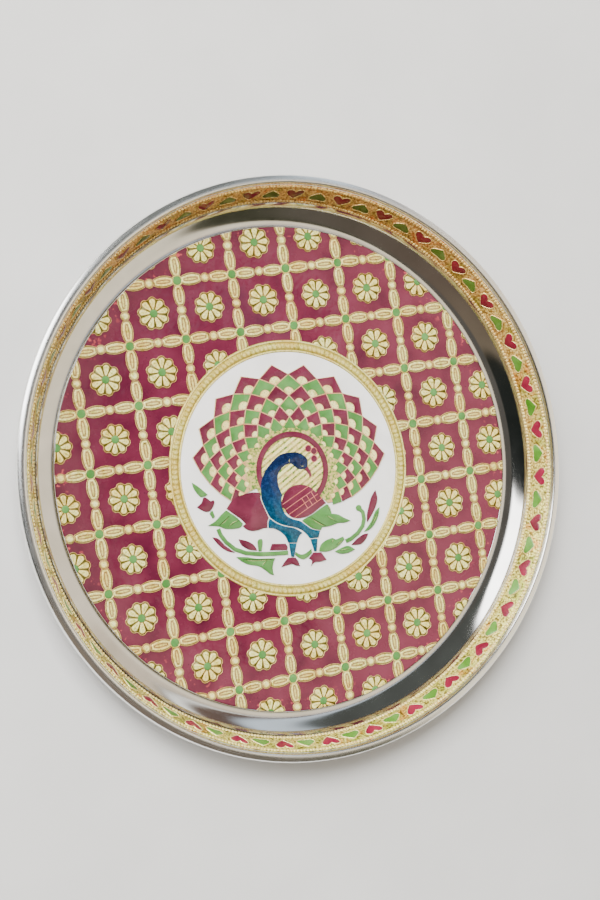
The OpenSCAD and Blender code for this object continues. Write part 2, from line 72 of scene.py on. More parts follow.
# Decorated disc, with its levels from the underside of the plate
FIELD_R = FLAT_R - 1.4
DISC_R = FLAT_R - 0.7
RING_R = 68.0
RING_W = 6.4
RING_LINE = 1.3
RING_BEADS = 158
RING_BED_Z = 2.16
LINE_FOOT = 1.95
ENAMEL_Z = 1.4
ENAMEL_TOP = 1.9
FLOOR_Z = 2.07
RELIEF_TOP = 2.5
PITCH = 30.7
LATTICE_TURN = 8.8
LATTICE_OFFSET = (-1.4, -2.2)
LATTICE_CELLS = 5
BARREL_L = 10.3
BARREL_W = 6.4
BARREL_END = 3.4
ROUND_D = 4.4
STUD_D = 4.8
BARREL_AT = (PITCH / 2 + STUD_D / 2 - ROUND_D / 2) / 2
ROSETTE_R = 8.4
PETALS = 9
CENTRE_R = 2.2

# Medallion
LINE_TOP = 2.68
STROKE_FOOT = 2.5
LOW_GROUND_Z = 2.22
ABOVE_ALL = 4.0
HALO = (0.7, -1.3)
HALO_R = 20.7
HALO_W = 3.0
CREST_LOBES = [(9.9, 10.4), (13.1, 9.1), (13.2, 5)]
CREST_R = 1.8
FEATHER_VEINS = [
    [(-41, -30.2), (-37.8, -28.2), (-35, -25)], [(-35.5, -30.6), (-33, -28.7), (-29.6, -27.2)],
    [(10.5, -26), (13.5, -28.2), (17, -30), (20, -31)], [(19.8, -25.2), (22.5, -26.6), (26.5, -29)],
    [(20.5, -19.8), (21.5, -21), (22.2, -23.2)],
]
LEAF_VEINS = [
    [(23, -40), (23.7, -38.7), (24, -37.6)], [(25.5, -41.2), (28, -39.7), (29.5, -38.3)],
    [(-28, -48), (-24, -48.6), (-19, -48.7), (-14, -48.4), (-10.6, -48.2)],
    [(-16.8, -51.5), (-15.8, -50), (-14.2, -48.8)], [(50.6, -23), (48.8, -27), (46, -31)],
    [(27.5, -44.3), (30.5, -43.5), (34, -43.3)],
]
NECK_TICKS = [[(-1, 5), (-1.1, 3.8), (-1, 2.7)], [(5.4, 1.2), (6.4, 0.9), (7.4, 1.2)]]

# Wall strip
STRIP_LOW = 1.0
STRIP_HIGH = 16.2
STRIP_FILM = 0.2
STRIP_EDGE = 0.5
STRIP_LIFT = 0.6
UPPER_BEADS = 504
LOWER_BEADS = 486
HEARTS = 35
HEART_TURN = 8.5
HEART_UP = 9.0
SPADE_UP = 8.2
# Right halves of the outlines, tip first; a third number marks a sharp corner
HEART_HALF = [
    (0, -3.9, 1), (2.6, -1.9), (4.8, 0.6), (4.7, 2.8), (3, 3.7), (1.2, 3.1), (0, 1.9, 1),
]
SPADE_HALF = [(0, 3.6, 1), (2.6, 1.8), (4.9, -0.4), (4.7, -2.2), (3, -2.9), (0, -2.6)]

# Studio: where the camera is and looks, in metres, and what the steel reflects.
# Upright edges lean with height, and each thing stands at its azimuth in degrees.
CAMERA_AT = (-0.34188, -0.02788, 0.82328)
CAMERA_LOOKS = (0.38907, 0.04193, -0.92025)
CAMERA_LENS = 67.2
KEY_POWER = 73
FILL_POWER = 6
WALL_LEAN = 0.26
BACKDROP = (0.6, 0.6, 0.59, 1.0)
CEILING = (0.15, 0.14, 0.125, 1.0)
WINDOW_LIGHT = 9.0
WINDOW = [(126, (0, 0, 0)), (129, (1, 1, 1)), (166, (1, 1, 1)), (169, (0, 0, 0))]
DARK_CLOTH = (0.025, 0.03, 0.027)
OLIVE_CLOTH = (0.08, 0.08, 0.05)
CURTAIN = (1.3, 1.1, 0.85)
LIT_GAP = (2.2, 2.2, 2.1)
GREY_WALL = (0.13, 0.14, 0.13)
WALLS = [
    (-180, DARK_CLOTH), (-150, DARK_CLOTH), (-146, (0.30, 0.24, 0.17)),
    (-120, (0.20, 0.15, 0.115)), (-75, (0.16, 0.14, 0.11)), (-60, OLIVE_CLOTH),
    (-48, OLIVE_CLOTH), (-42, (1.5, 1.35, 1.05)), (-15, (1.7, 1.5, 1.15)),
    (22, (1.6, 1.4, 1.1)), (28, CURTAIN), (40, CURTAIN), (42, (0.2, 0.14, 0.1)),
    (44, LIT_GAP), (46, LIT_GAP), (49, (0.2, 0.12, 0.09)), (57, (0.22, 0.15, 0.12)),
    (61, (1.2, 1.4, 1.6)), (71, (1.1, 1.25, 1.4)), (77, GREY_WALL), (165, GREY_WALL),
    (171, DARK_CLOTH),
]


# Plain shapes

def link(piece):
    bpy.context.scene.collection.objects.link(piece)
    return piece


def drop(piece):
    bpy.data.objects.remove(piece)


def object_of(name, mesh):
    return link(bpy.data.objects.new(name, mesh))


def evaluated(piece):
    """A plain mesh of a piece with its modifiers applied."""
    graph = bpy.context.evaluated_depsgraph_get()
    return bpy.data.meshes.new_from_object(piece.evaluated_get(graph), depsgraph=graph)


def settle(piece):
    """Applies the piece's modifiers and takes them off."""
    mesh = evaluated(piece)
    piece.modifiers.clear()
    piece.data = mesh
    return piece


def mesh_of(name, shape):
    """A plain mesh of a bmesh, which is then done with."""
    mesh = bpy.data.meshes.new(name)
    shape.to_mesh(mesh)
    shape.free()
    return mesh


def face_out(mesh):
    """Turns a closed mesh right side out."""
    shape = bmesh.new()
    shape.from_mesh(mesh)
    if shape.calc_volume(signed=True) < 0:
        bmesh.ops.reverse_faces(shape, faces=shape.faces)
    shape.to_mesh(mesh)
    shape.free()


def smooth(mesh, angle):
    """Smooth shading, with crisp edges where faces meet at more than the angle."""
    mesh.shade_smooth()
    shape = bmesh.new()
    shape.from_mesh(mesh)
    limit = math.radians(angle)
    for edge in shape.edges:
        edge.smooth = len(edge.link_faces) == 2 and edge.calc_face_angle(0) < limit
    shape.to_mesh(mesh)
    shape.free()


def circle(radius, steps):
    turn = 2 * math.pi / steps
    return [(radius * math.cos(turn * k), radius * math.sin(turn * k)) for k in range(steps)]


def arc(centre, radius, start, turn, steps):
    angles = [math.radians(start + turn * k / steps) for k in range(steps + 1)]
    return [(centre[0] + radius * math.cos(a), centre[1] + radius * math.sin(a)) for a in angles]


def heading(points, k):
    """Direction of a smooth outline at a point, none at a sharp corner."""
    if len(points[k]) > 2:
        return Vector((0, 0))
    before = Vector(points[k - 1][:2])
    after = Vector(points[(k + 1) % len(points)][:2])
    return (after - before) / 2


def curved(points, steps):
    """A closed curve through all points of an outline."""
    found = []
    for k in range(len(points)):
        nxt = (k + 1) % len(points)
        a, b = Vector(points[k][:2]), Vector(points[nxt][:2])
        from_a, to_b = heading(points, k), heading(points, nxt)
        for s in range(steps):
            t = s / steps
            place = a * (1 + 2 * t) * (1 - t) ** 2 + b * t * t * (3 - 2 * t)
            place += from_a * t * (1 - t) ** 2 - to_b * t * t * (1 - t)
            found.append((place.x, place.y))
    return found


def with_mirror(half):
    """A closed outline from its right half, whose ends lie on the middle line."""
    return half + [(-x, y) for x, y in reversed(half[1:-1])]


def grown(outline, by):
    """An outline moved outwards along its normals."""
    found = []
    for k, point in enumerate(outline):
        before = Vector(outline[k - 1])
        after = Vector(outline[(k + 1) % len(outline)])
        along = (after - before).normalized()
        found.append((point[0] + along.y * by, point[1] - along.x * by))
    return found


def woven(shape, lines, place, around):
    """Faces between neighbouring lines, which are loops of equal length."""
    place = place or Matrix.Identity(4)
    loops = [[shape.verts.new(place @ Vector(p) * MM) for p in line] for line in lines]
    count = len(lines[0])
    for one, two in zip(loops, loops[1:] + loops[:1] if around else loops[1:]):
        for k in range(count):
            nxt = (k + 1) % count
            shape.faces.new((one[k], one[nxt], two[nxt], two[k]))
    return loops


def stacked(name, rings, place=None):
    """A closed shell from rings of equal length, the first and the last one capped."""
    shape = bmesh.new()
    loops = woven(shape, rings, place, around=False)
    shape.faces.new(reversed(loops[0]))
    shape.faces.new(loops[-1])
    bmesh.ops.remove_doubles(shape, verts=shape.verts, dist=1e-7)
    mesh = mesh_of(name, shape)
    face_out(mesh)
    mesh.shade_smooth()
    return mesh


def domed(name, outline, levels, place=None):
    """A shell whose rings are its outline, drawn in along x and y, at rising heights."""
    rings = [[(x * sx, y * sy, z) for x, y in outline] for sx, sy, z in levels]
    return stacked(name, rings, place)


def wire_loop(name, outline, width, low, high, place=None):
    """A half-round wire laid along a closed outline."""
    half = width / 2
    shoulder = low + 0.7 * (high - low)
    sections = ((-1, low), (-0.8, shoulder), (0, high), (0.8, shoulder), (1, low))
    lines = [[(x, y, z) for x, y in grown(outline, s * half)] for s, z in sections]
    return closed_band(name, lines, place)


def closed_band(name, lines, place=None):
    """A closed tube whose long lines run side by side round a loop."""
    shape = bmesh.new()
    woven(shape, lines, place, around=True)
    mesh = mesh_of(name, shape)
    face_out(mesh)
    smooth(mesh, 50)
    return mesh


def joined(name, meshes):
    """Several shells in one mesh."""
    shape = bmesh.new()
    for mesh in meshes:
        shape.from_mesh(mesh)
    return mesh_of(name, shape)


# Node tree tools

class Nodes:
    """A node tree under construction. A value is a number or another node's output."""

    def __init__(self, tree):
        self.nodes = tree.nodes
        self.links = tree.links

    def feed(self, socket, value):
        if isinstance(value, bpy.types.NodeSocket):
            self.links.new(value, socket)
        else:
            socket.default_value = value

    def operate(self, kind, operation, values):
        node = self.nodes.new(kind)
        node.operation = operation
        for socket, value in zip(node.inputs, values):
            self.feed(socket, value)
        return node

    def maths(self, operation, *values):
        return self.operate("ShaderNodeMath", operation, values).outputs[0]

    def span(self, value, low, high, to_low=0.0, to_high=1.0):
        """A value carried from one range to another, and held at its ends."""
        node = self.nodes.new("ShaderNodeMapRange")
        ends = {"From Min": low, "From Max": high, "To Min": to_low, "To Max": to_high}
        for title, number in ends.items():
            node.inputs[title].default_value = number
        self.feed(node.inputs["Value"], value)
        return node.outputs[0]

    def ramp(self, value, stops):
        """Colours or levels between set values."""
        node = self.nodes.new("ShaderNodeValToRGB")
        band = node.color_ramp
        while len(band.elements) < len(stops):
            band.elements.new(1.0)
        for element, (at, colour) in zip(band.elements, stops):
            element.position = at
            element.color = colour if len(colour) == 4 else (*colour, 1.0)
        self.feed(node.inputs["Fac"], value)
        return node.outputs["Color"]

    def blend(self, share, one, two, kind="MIX"):
        node = self.nodes.new("ShaderNodeMix")
        node.data_type = "RGBA"
        node.blend_type = kind
        for place, value in ((0, share), (6, one), (7, two)):
            self.feed(node.inputs[place], value)
        return node.outputs[2]


class Tree(Nodes):
    """A Geometry Nodes tree with named inputs."""

    def __init__(self, name, inputs):
        self.group = bpy.data.node_groups.new(name, "GeometryNodeTree")
        super().__init__(self.group)
        sockets = self.group.interface
        for title, kind in inputs:
            sockets.new_socket(title, in_out="INPUT", socket_type=f"NodeSocket{kind}")
        sockets.new_socket("Geometry", in_out="OUTPUT", socket_type="NodeSocketGeometry")
        self.inputs = self.nodes.new("NodeGroupInput").outputs
        self.result = self.nodes.new("NodeGroupOutput").inputs[0]

    def node(self, kind, settings=None, output=0, **sockets):
        """One output of a new node, with its settings and its sockets by name."""
        node = self.nodes.new(kind)
        for key, value in (settings or {}).items():
            setattr(node, key, value)
        for key, value in sockets.items():
            self.feed(node.inputs[key.replace("_", " ")], value)
        return node.outputs[output]

    def vectors(self, operation, *values, output="Vector"):
        return self.operate("ShaderNodeVectorMath", operation, values).outputs[output]

    def chance(self, spread, seed, step):
        """An even random number between minus and plus the spread."""
        node = self.nodes.new("FunctionNodeRandomValue")
        node.data_type = "FLOAT"
        self.feed(node.inputs[2], self.maths("MULTIPLY", spread, -1.0))
        self.feed(node.inputs[3], spread)
        self.feed(node.inputs["Seed"], self.maths("ADD", seed, float(step)))
        return node.outputs[1]

    def piece(self, title):
        return self.node("GeometryNodeObjectInfo", output="Geometry", Object=self.inputs[title])

    def finish(self, geometry):
        """Ends the tree in plain geometry with its material on it."""
        real = self.node("GeometryNodeRealizeInstances", Geometry=geometry)
        material = self.inputs["Material"]
        done = self.node("GeometryNodeSetMaterial", Geometry=real, Material=material)
        self.feed(self.result, done)
        return self.group


def made_by(group, name, **settings):
    """Runs a tree once and gives its result as a plain piece."""
    maker = object_of(name, bpy.data.meshes.new(name))
    modifier = maker.modifiers.new("Maker", "NODES")
    modifier.node_group = group
    keys = {
        item.name: item.identifier
        for item in group.interface.items_tree
        if item.item_type == "SOCKET" and item.in_out == "INPUT"
    }
    for title, value in settings.items():
        modifier[keys[title.replace("_", " ")]] = value
    mesh = evaluated(maker)
    drop(maker)
    mesh.name = name
    return object_of(name, mesh)


def spun_section_tree():
    """Spins a section, drawn as radius and height, about the plate's axis."""
    tree = Tree("Spun section", [
        ("Section", "Object"), ("Segments", "Int"), ("Radius", "Float"), ("Material", "Material"),
    ])
    steps, radius = tree.inputs["Segments"], tree.inputs["Radius"]
    away = tree.node("ShaderNodeCombineXYZ", X=tree.maths("MULTIPLY", radius, -1.0))
    moved = tree.node("GeometryNodeTransform", Geometry=tree.piece("Section"), Translation=away)
    section = tree.node("GeometryNodeMeshToCurve", Mesh=moved)
    path = tree.node("GeometryNodeCurvePrimitiveCircle", Resolution=steps, Radius=radius)
    swept = tree.node("GeometryNodeCurveToMesh", Curve=path, Profile_Curve=section)
    welded = tree.node("GeometryNodeMergeByDistance", Geometry=swept, Distance=1e-6)
    return tree.finish(tree.node("GeometryNodeSetShadeSmooth", Geometry=welded))


def round_axis_tree():
    """Repeats a piece round an upright axis."""
    tree = Tree("Repeat round an axis", [
        ("Piece", "Object"), ("Count", "Int"), ("First Turn", "Float"), ("Wander", "Float"),
        ("Seed", "Int"), ("Material", "Material"),
    ])
    given = tree.inputs
    points = tree.node("GeometryNodePoints", Count=given["Count"])
    share = tree.maths("DIVIDE", 2 * math.pi, given["Count"])
    index = tree.node("GeometryNodeInputIndex")
    turn = tree.maths("MULTIPLY_ADD", index, share, given["First Turn"])
    turn = tree.maths("ADD", turn, tree.chance(given["Wander"], given["Seed"], 1))
    turned = tree.node("ShaderNodeCombineXYZ", Z=turn)
    placed = tree.node(
        "GeometryNodeInstanceOnPoints", Points=points, Instance=tree.piece("Piece"),
        Rotation=turned,
    )
    return tree.finish(placed)


def lattice_tree():
    """Repeats a piece at set places in every square of a turned lattice."""
    tree = Tree("Repeat on the lattice", [
        ("Piece", "Object"), ("Places", "Object"), ("Cells", "Int"), ("Pitch", "Float"),
        ("Offset", "Vector"), ("Turn", "Float"), ("Inner", "Float"), ("Outer", "Float"),
        ("Wander Turn", "Float"), ("Wander Shift", "Float"), ("Wander Size", "Float"),
        ("Seed", "Int"), ("Material", "Material"),
    ])
    given = tree.inputs
    seed, shift = given["Seed"], given["Wander Shift"]
    side = tree.maths("MULTIPLY", given["Pitch"], tree.maths("MULTIPLY", given["Cells"], 2.0))
    posts = tree.maths("MULTIPLY_ADD", given["Cells"], 2.0, 1.0)
    grid = tree.node(
        "GeometryNodeMeshGrid", Size_X=side, Size_Y=side, Vertices_X=posts, Vertices_Y=posts,
    )
    squares = tree.node("GeometryNodeInstanceOnPoints", Points=grid, Instance=tree.piece("Places"))
    marks = tree.node("GeometryNodeRealizeInstances", Geometry=squares)
    shifted = tree.vectors("ADD", tree.node("GeometryNodeInputPosition"), given["Offset"])
    about_axis = {"rotation_type": "Z_AXIS"}
    turned = tree.node("ShaderNodeVectorRotate", about_axis, Vector=shifted, Angle=given["Turn"])
    stray_x, stray_y = tree.chance(shift, seed, 2), tree.chance(shift, seed, 3)
    stray = tree.node("ShaderNodeCombineXYZ", X=stray_x, Y=stray_y)
    put = tree.node("GeometryNodeSetPosition", Geometry=marks, Position=turned, Offset=stray)
    here = tree.node("GeometryNodeInputPosition")
    distance = tree.vectors("LENGTH", here, output="Value")
    inside = tree.maths("LESS_THAN", distance, given["Inner"])
    beyond = tree.maths("GREATER_THAN", distance, given["Outer"])
    outside = tree.maths("ADD", inside, beyond)
    kept = tree.node("GeometryNodeDeleteGeometry", Geometry=put, Selection=outside)
    own_turn = tree.node("GeometryNodeInputNamedAttribute", {"data_type": "FLOAT"}, Name="turn")
    spin = tree.maths("ADD", own_turn, given["Turn"])
    spin = tree.maths("ADD", spin, tree.chance(given["Wander Turn"], seed, 4))
    size = tree.maths("ADD", 1.0, tree.chance(given["Wander Size"], seed, 5))
    placed = tree.node(
        "GeometryNodeInstanceOnPoints", Points=kept, Instance=tree.piece("Piece"),
        Rotation=tree.node("ShaderNodeCombineXYZ", Z=spin),
        Scale=tree.node("ShaderNodeCombineXYZ", X=size, Y=size, Z=1.0),
    )
    return tree.finish(placed)


SPUN_SECTION = spun_section_tree()
ROUND_AXIS = round_axis_tree()
ON_LATTICE = lattice_tree()


def spun(name, section, material, closed=True, steps=360):
    """A piece spun from its section, a list of (radius, height)."""
    mesh = bpy.data.meshes.new(name + "_section")
    count = len(section)
    edges = [(k, (k + 1) % count) for k in range(count if closed else count - 1)]
    mesh.from_pydata([(r * MM, z * MM, 0) for r, z in section], edges, [])
    drawn = object_of(name + "_section", mesh)
    path_r = (0.5 * max(r for r, _ in section) + 0.5 * min(r for r, _ in section)) * MM
    piece = made_by(
        SPUN_SECTION, name, Section=drawn, Segments=steps, Radius=path_r, Material=material,
    )
    drop(drawn)
    turn_upright(piece.data, max(z for _, z in section) * MM)
    face_out(piece.data)
    return piece


def turn_upright(mesh, top):
    """Mirrors a spun mesh in its height if it came out upside down."""
    highest = max(v.co.z for v in mesh.vertices)
    if abs(highest - top) > 1e-6:
        mesh.transform(Matrix.Diagonal((1, 1, -1, 1)))
        mesh.flip_normals()


def round_axis(name, master, count, material, first_turn=0.0, wander=0.0, seed=1):
    """Copies of a mesh spaced evenly round an upright axis."""
    drawn = object_of(name + "_one", master)
    piece = made_by(
        ROUND_AXIS, name, Piece=drawn, Count=count, First_Turn=math.radians(first_turn),
        Wander=math.radians(wander), Seed=seed, Material=material,
    )
    drop(drawn)
    return piece


def on_lattice(name, master, places, reach, material, wander, seed):
    """A lattice piece at its places in each square, trimmed at the field's edges."""
    drawn = object_of(name + "_one", master)
    marks = bpy.data.meshes.new(name + "_places")
    marks.from_pydata([(x * MM, y * MM, 0) for x, y, _ in places], [], [])
    turns = marks.attributes.new("turn", "FLOAT", "POINT")
    turns.data.foreach_set("value", [math.radians(t) for _, _, t in places])
    marked = object_of(name + "_places", marks)
    piece = made_by(
        ON_LATTICE, name, Piece=drawn, Places=marked, Cells=LATTICE_CELLS, Pitch=PITCH * MM,
        Offset=(LATTICE_OFFSET[0] * MM, LATTICE_OFFSET[1] * MM, 0.0),
        Turn=math.radians(LATTICE_TURN), Inner=(RING_R - reach) * MM,
        Outer=(FIELD_R + reach) * MM, Wander_Turn=math.radians(wander[0]),
        Wander_Shift=wander[1] * MM, Wander_Size=wander[2], Seed=seed, Material=material,
    )
    drop(drawn)
    drop(marked)
    trim_to_field(piece)
    return piece


def boolean(piece, cutter, operation):
    """Cuts a closed piece with another, and keeps the result as a plain mesh."""
    modifier = piece.modifiers.new("Cut", "BOOLEAN")
    modifier.operation = operation
    modifier.solver = "MANIFOLD"
    modifier.object = cutter
    return settle(piece)


def trim_to_field(piece):
    """Leaves only what lies between the gilt ring and the edge of the field."""
    inner = RING_R - 0.3
    lines = [
        [(x, y, z) for x, y in circle(r, 360)]
        for r, z in ((inner, 1), (FIELD_R, 1), (FIELD_R, ABOVE_ALL), (inner, ABOVE_ALL))
    ]
    tube = object_of("field_tube", closed_band("field_tube", lines))
    boolean(piece, tube, "INTERSECT")
    drop(tube)


# Material tools

def tone(red, green, blue):
    """A linear colour from everyday 0 to 255 numbers."""
    def linear(value):
        value /= 255
        return value / 12.92 if value <= 0.04045 else ((value + 0.055) / 1.055) ** 2.4
    return (linear(red), linear(green), linear(blue), 1.0)


class Finish(Nodes):
    """A material under construction, on the plate's own coordinates."""

    def __init__(self, name, plain):
        self.material = bpy.data.materials.new(name)
        self.material.use_nodes = True
        super().__init__(self.material.node_tree)
        self.shader = self.nodes["Principled BSDF"]
        for title, value in plain.items():
            self.shader.inputs[title].default_value = value
        self.place = self.nodes.new("ShaderNodeTexCoord").outputs["Object"]

    def noise(self, size, detail=2.0, place=None, roughness=0.5):
        """Soft noise whose patches are about this many millimetres wide."""
        node = self.nodes.new("ShaderNodeTexNoise")
        node.inputs["Scale"].default_value = 1000.0 / size
        node.inputs["Detail"].default_value = detail
        node.inputs["Roughness"].default_value = roughness
        self.feed(node.inputs["Vector"], place or self.place)
        return node.outputs["Fac"]

    def patches(self, size, detail, low, high, to_low=0.0, to_high=1.0):
        """Soft noise carried from low and high to other values."""
        return self.span(self.noise(size, detail), low, high, to_low, to_high)

    def cells(self, size, feature="F1"):
        """Distance to the middle of cells about this many millimetres wide."""
        node = self.nodes.new("ShaderNodeTexVoronoi")
        node.feature = feature
        node.inputs["Scale"].default_value = 1000.0 / size
        self.feed(node.inputs["Vector"], self.place)
        return node.outputs["Distance"]

    def tinted(self, share, base, colour):
        """The base colour, multiplied by another one as far as the share says."""
        return self.blend(share, base, self.blend(1.0, base, colour, "MULTIPLY"))

    def axis(self, letter):
        node = self.nodes.new("ShaderNodeSeparateXYZ")
        self.feed(node.inputs[0], self.place)
        return node.outputs[letter]

    def distance(self, centre=(0, 0)):
        """Distance in metres from an upright axis, whose place is in millimetres."""
        squares = []
        for letter, middle in zip("XY", centre):
            away = self.maths("SUBTRACT", self.axis(letter), middle * MM)
            squares.append(self.maths("MULTIPLY", away, away))
        return self.maths("SQRT", self.maths("ADD", *squares))

    def bump(self, height, strength, depth, under=None):
        """Raises the surface by up to this many millimetres."""
        node = self.nodes.new("ShaderNodeBump")
        node.inputs["Strength"].default_value = strength
        node.inputs["Distance"].default_value = depth * MM
        self.feed(node.inputs["Height"], height)
        if under is not None:
            self.links.new(under, node.inputs["Normal"])
        return node.outputs["Normal"]

    def set(self, title, value):
        self.feed(self.shader.inputs[title], value)
        return self.material


def grey(level):
    return (level, level, level, 1.0)


def polished_steel():
    """Mirror-bright stainless with faint spinning marks and a few smears, and a whiter, rougher
    rolled rim whose whiteness is a painted highlight.
    """
    skin = Finish("Polished_steel", {"Metallic": 1.0, "Roughness": 0.09, "IOR": 2.5})
    from_axis = skin.distance()
    rings = skin.nodes.new("ShaderNodeCombineXYZ")
    skin.feed(rings.inputs[0], from_axis)
    skin.feed(rings.inputs[1], skin.axis("Z"))
    marks = skin.noise(0.35, 2.0, rings.outputs[0])
    smears = skin.noise(22.0, 4.0)
    colour = skin.ramp(smears, [(0.3, tone(196, 194, 190)), (0.7, tone(214, 213, 210))])
    # Painted highlight: the rolled rim is whiter than the rest of the steel; it is also rougher.
    rim_share = skin.span(from_axis, 0.1475, 0.1485)
    skin.set("Base Color", skin.blend(rim_share, colour, tone(244, 244, 242)))
    worn = skin.span(skin.blend(0.35, smears, marks), 0.3, 0.7, 0.06, 0.15)
    skin.set("Roughness", skin.maths("MULTIPLY_ADD", rim_share, 0.16, worn))
    return skin.set("Normal", skin.bump(marks, 0.12, 0.02))


def bond_film():
    """Dull translucent film, seen only where a bond shows."""
    skin = Finish("Bond_film", {"Roughness": 0.6})
    shade = skin.noise(4.0, 3.0)
    stops = [(0.3, tone(196, 190, 174)), (0.7, tone(222, 218, 204))]
    skin.set("Base Color", skin.ramp(shade, stops))
    return skin.set("Normal", skin.bump(shade, 0.2, 0.05))


def gilt(name, groove_dirt_and_shade, edge, body, crest, low, high, side=None):
    """Pressed gilt foil with a fine grain, coloured by height: dirt and painted shade in its
    grooves, a painted reflection of the enamel on its flanks, and worn crests with a painted
    highlight.
    """
    groove_dirt_and_shade, edge, body, crest = tone(*groove_dirt_and_shade), tone(*edge), tone(*body), tone(*crest)
    skin = Finish(name, {"Metallic": 0.3, "IOR": 1.6})
    rise = skin.span(skin.axis("Z"), low * MM, high * MM)
    fine = skin.noise(0.9, 3.0)
    level = skin.maths("ADD", rise, skin.span(fine, 0.3, 0.7, -0.07, 0.07))
    # Colours by height: dirt and painted shade low in the grooves, a painted reflection of the
    # enamel around it on the flanks, and a painted highlight on the worn crests.
    stops = [
        (0.1, edge), (0.2, groove_dirt_and_shade), (0.36, groove_dirt_and_shade), (0.5, edge),
        (0.74, edge), (0.85, body), (0.97, crest),
    ]
    base = skin.ramp(level, stops)
    base = skin.tinted(skin.patches(14.0, 2.0, 0.4, 0.65, 0.0, 0.7), base, tone(252, 226, 196))
    base = skin.tinted(skin.patches(2.6, 3.0, 0.54, 0.68, 0.0, 0.7), base, tone(186, 192, 120))
    if side is not None:
        base = side(skin, base)
    skin.set("Base Color", base)
    skin.set("Roughness", skin.span(fine, 0.3, 0.7, 0.22, 0.42))
    return skin.set("Normal", skin.bump(fine, 0.35, 0.12))


def enamel(name, dark, body, light, patch=18.0, speck=0.0, wave=0.35, side=None):
    """Cold enamel: poured colour with soft patches, slight waves and a glossy skin."""
    skin = Finish(name, {"IOR": 1.3, "Coat Weight": 0.5, "Coat Roughness": 0.06})
    stops = [(0.3, tone(*dark)), (0.5, tone(*body)), (0.72, tone(*light))]
    base = skin.ramp(skin.noise(patch, 3.0), stops)
    if side is not None:
        base = side(skin, base)
    if speck:
        dots = skin.ramp(skin.cells(2.2), [(speck, grey(1.0)), (speck + 0.06, grey(0.0))])
        rare = skin.ramp(skin.noise(9.0, 1.0), [(0.6, grey(0.0)), (0.66, grey(1.0))])
        base = skin.blend(skin.maths("MULTIPLY", dots, rare), base, tone(70, 18, 40))
    skin.set("Base Color", base)
    skin.set("Roughness", skin.patches(5.0, 2.0, 0.3, 0.7, 0.16, 0.32))
    slow = skin.bump(skin.noise(9.0, 2.0), wave, 0.35)
    skin.set("Coat Normal", slow)
    return skin.set("Normal", skin.bump(skin.noise(1.3, 2.0), 0.15, 0.06, slow))


def crimson_field_painted_light(skin, base):
    """Painted shade to the left, deeper and more violet; painted sheen towards the lower right,
    warmer; and painted glints, small orange-pink highlights, near the disc's edge.
    """
    lean = skin.maths("MULTIPLY", skin.axis("Y"), 0.35)
    across = skin.maths("SUBTRACT", skin.axis("X"), lean)
    across = skin.maths("ADD", across, skin.patches(40.0, 2.0, 0.3, 0.7, -0.03, 0.03))
    # Painted shade at the left and painted sheen towards the lower right.
    painted_shade_left = skin.blend(skin.span(across, -0.02, -0.13, 0.0, 0.45), base, tone(74, 16, 38))
    painted_sheen_right = skin.blend(skin.span(across, 0.03, 0.13, 0.0, 0.4), painted_shade_left, tone(110, 38, 58))
    # Painted glints: orange-pink highlights in small patches near the disc's edge.
    near_edge = skin.span(skin.distance(), 0.118, 0.127)
    painted_glints = skin.maths("MULTIPLY", near_edge, skin.patches(3.0, 2.0, 0.62, 0.7))
    return skin.blend(skin.maths("MULTIPLY", painted_glints, 0.7), painted_sheen_right, tone(206, 84, 84))


def halo_greens(skin, base):
    """Green and cream mottle on the gilt close round the halo."""
    near = skin.span(skin.distance(HALO), 0.0275, 0.0255)
    stops = [(0.4, tone(84, 124, 52)), (0.5, tone(188, 184, 92)), (0.66, tone(222, 190, 132))]
    return skin.blend(near, base, skin.ramp(skin.noise(1.5, 3.0), stops))


def far_wall_painted_shade(skin, base):
    """Painted shade: darker, browner enamel on the far side of the wall."""
    return skin.tinted(skin.span(skin.axis("Y"), 0.03, 0.13), base, tone(222, 180, 165))


def strip_wire():
    """Bright gilt of the strip's wires and beads, amber and darker at the far side, which is
    painted shade.
    """
    skin = Finish("Strip_wire", {"Metallic": 0.3, "IOR": 1.6})
    fine = skin.noise(0.9, 3.0)
    pale = skin.ramp(fine, [(0.35, tone(214, 176, 112)), (0.62, tone(246, 238, 156))])
    amber = skin.ramp(fine, [(0.35, tone(176, 118, 60)), (0.62, tone(240, 212, 128))])
    # Painted shade: amber and darker towards the far side of the wall, pale at the near side.
    skin.set("Base Color", skin.blend(skin.span(skin.axis("Y"), -0.02, 0.12), pale, amber))
    skin.set("Roughness", skin.span(fine, 0.3, 0.7, 0.2, 0.36))
    return skin.set("Normal", skin.bump(fine, 0.5, 0.15))


def peacock_blue():
    """Dark blue at the head, turning to teal at the legs, mottled all over."""
    skin = Finish("Blue_enamel", {"IOR": 1.3, "Coat Weight": 0.4, "Coat Roughness": 0.08})
    mottle = skin.noise(1.6, 4.0, roughness=0.7)
    patches = skin.patches(9.0, 2.0, 0.3, 0.7, -0.004, 0.004)
    down = skin.span(skin.maths("ADD", skin.axis("Y"), patches), 0.006, -0.036)
    stops = [(0.0, tone(14, 32, 68)), (0.4, tone(15, 42, 84)), (1.0, tone(6, 84, 106))]
    base = skin.ramp(down, stops)
    light = skin.blend(0.35, base, tone(40, 110, 140))
    mixed = skin.tinted(skin.span(mottle, 0.62, 0.4, 0.0, 0.8), base, grey(0.35))
    mixed = skin.blend(skin.span(mottle, 0.56, 0.74, 0.0, 0.3), mixed, light)
    skin.set("Base Color", mixed)
    skin.set("Roughness", skin.span(mottle, 0.3, 0.7, 0.18, 0.34))
    return skin.set("Normal", skin.bump(mottle, 0.25, 0.12))


